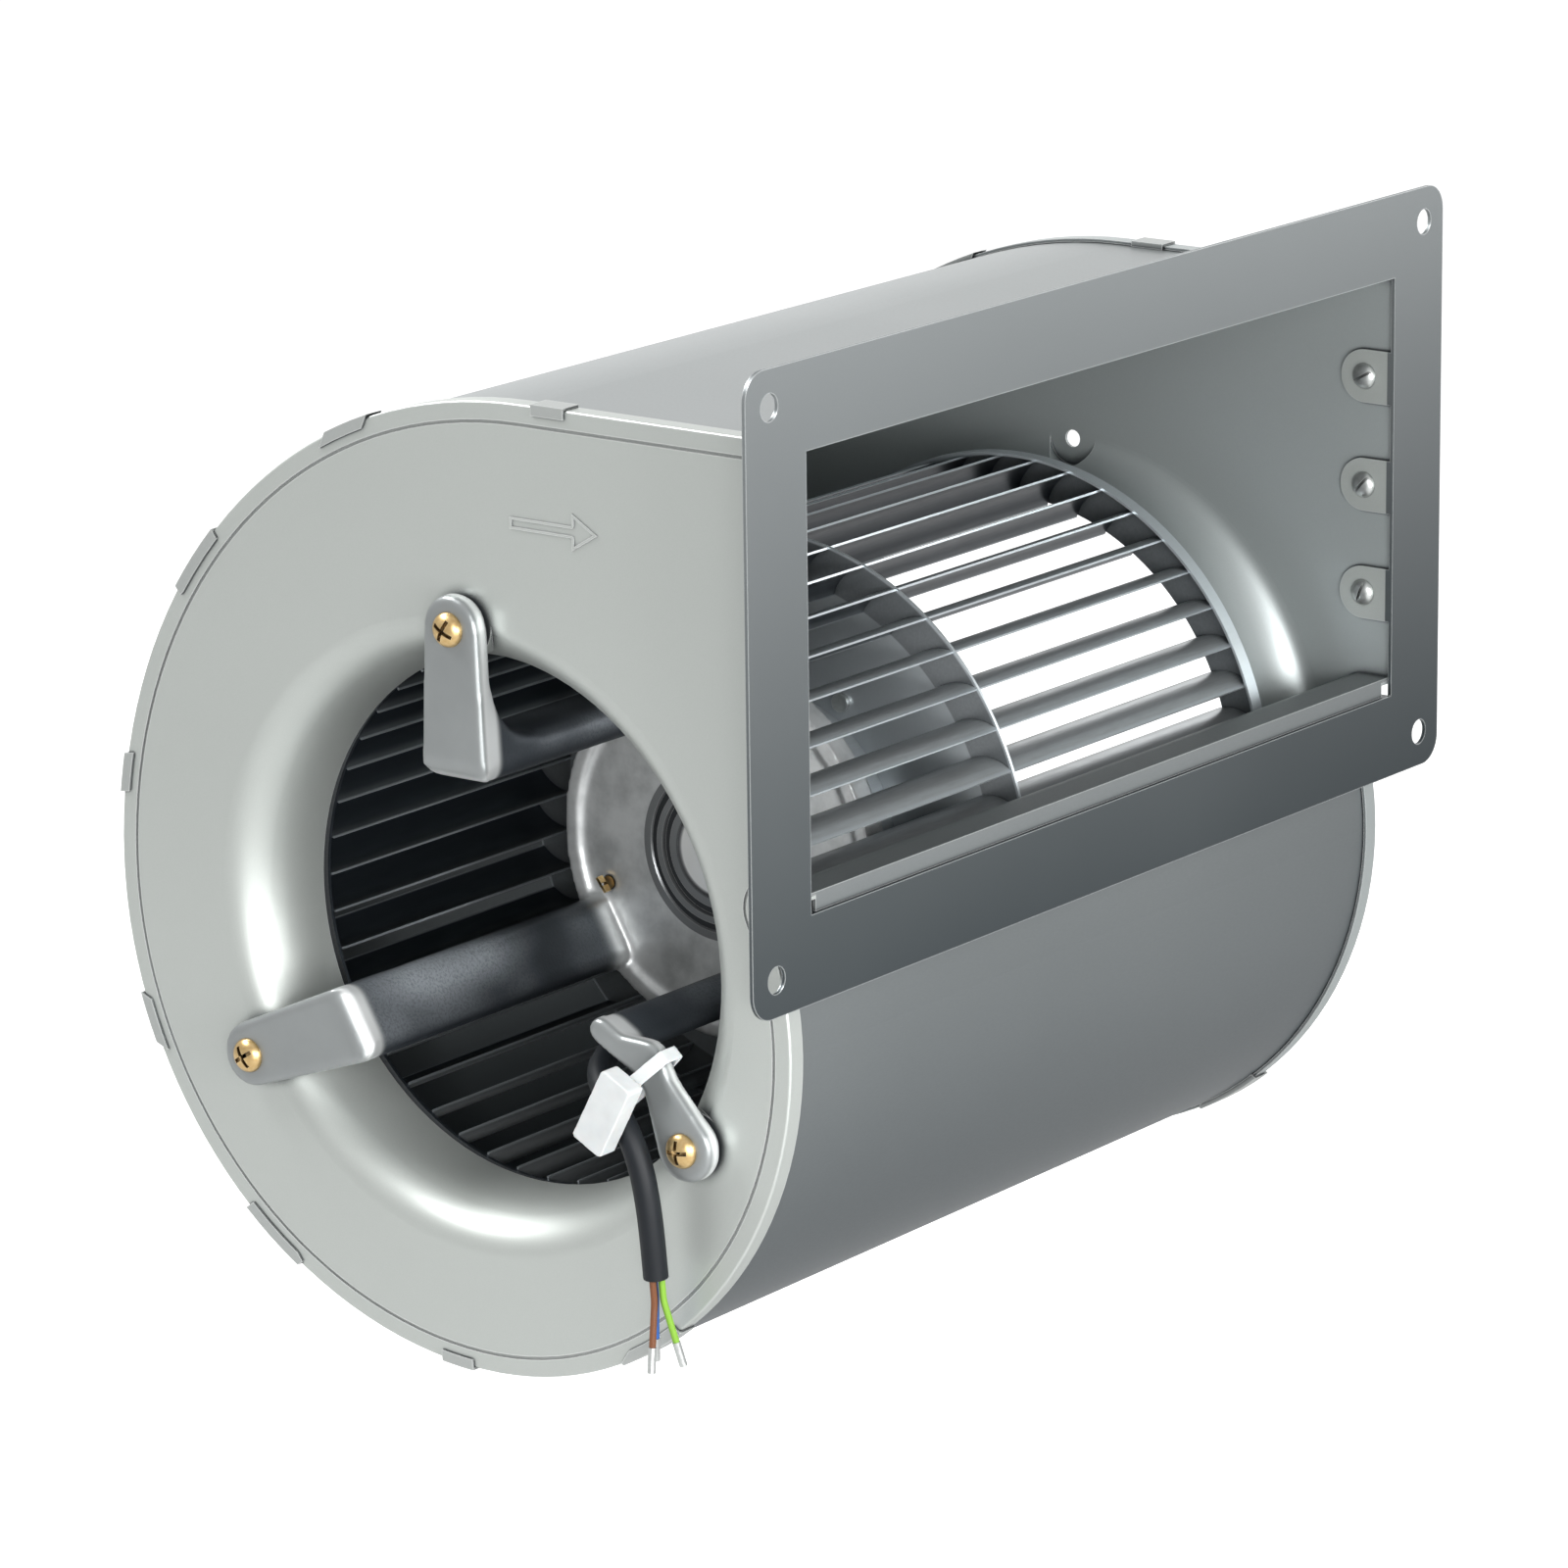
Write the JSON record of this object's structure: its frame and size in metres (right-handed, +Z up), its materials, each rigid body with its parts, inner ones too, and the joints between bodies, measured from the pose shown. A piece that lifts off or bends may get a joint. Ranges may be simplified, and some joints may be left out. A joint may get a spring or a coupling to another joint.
{
  "type": "cooling fan",
  "caption": "Double-inlet centrifugal blower: sheet-metal scroll with a rectangular outlet flange, and a forward-curved impeller on an outer-rotor motor held by a three-arm bracket.",
  "frame": {"origin": "centre of the outlet opening, on the outlet flange's front face", "axes": "+X the way the air leaves, square to the flange; +Y along the fan's axis, away from the motor bracket; +Z up"},
  "size_m": [0.3074, 0.426, 0.3792],
  "materials": {
    "galvanised_sheet": "galvanised sheet, satin",
    "plate_sheet": "galvanised sheet, lighter satin",
    "impeller_sheet": "galvanised sheet in shade, satin",
    "cast_aluminium": "die cast, slightly rough",
    "zinc_screws": "yellow zinc plated",
    "plain_screws": "bright zinc plated",
    "bearing_steel": "ground",
    "core_steel": "laminated",
    "copper_windings": "enamelled wire",
    "gland_rubber": "matt",
    "sheath_black": "satin",
    "core_brown": "satin",
    "core_blue": "satin",
    "core_earth": "satin",
    "clamp_white": "moulded"
  },
  "bodies": {
    "housing": {"scroll_wrap": "galvanised_sheet", "side_plate_near": "plate_sheet", "side_plate_far": "plate_sheet", "crimp_clips": "galvanised_sheet", "outlet_flange": "galvanised_sheet", "flange_screws": "plain_screws", "motor_bracket": "cast_aluminium", "bracket_screws": "zinc_screws", "bracket_nuts": "plain_screws", "hub_screws": "zinc_screws", "hub_cap": "plain_screws", "cable_gland": "gland_rubber", "motor_lead": "sheath_black", "lead_core_brown": "core_brown", "lead_core_blue": "core_blue", "lead_core_earth": "core_earth", "core_ferrules": "plain_screws", "cable_clamp": "clamp_white", "stator_bush": "cast_aluminium", "stator_core": "core_steel", "stator_windings": "copper_windings", "bearing_outer_rings": "bearing_steel", "preload_washer": "bearing_steel"},
    "impeller": {"motor_shaft": "bearing_steel", "shaft_circlip": "bearing_steel", "bearing_inner_rings": "bearing_steel", "bearing_balls": "bearing_steel", "rotor_can": "impeller_sheet", "rotor_cage": "cast_aluminium", "impeller_disc": "impeller_sheet", "disc_rivets": "plain_screws", "blades_near": "impeller_sheet", "blades_far": "impeller_sheet", "end_ring_near": "impeller_sheet", "end_ring_far": "impeller_sheet"}
  },
  "joints": [
    {"name": "impeller_spin", "type": "hinge", "parent": "housing", "child": "impeller", "pos_m": [-0.145, 0, -0.111], "axis": [0, 1, 0], "continuous": true}
  ]
}
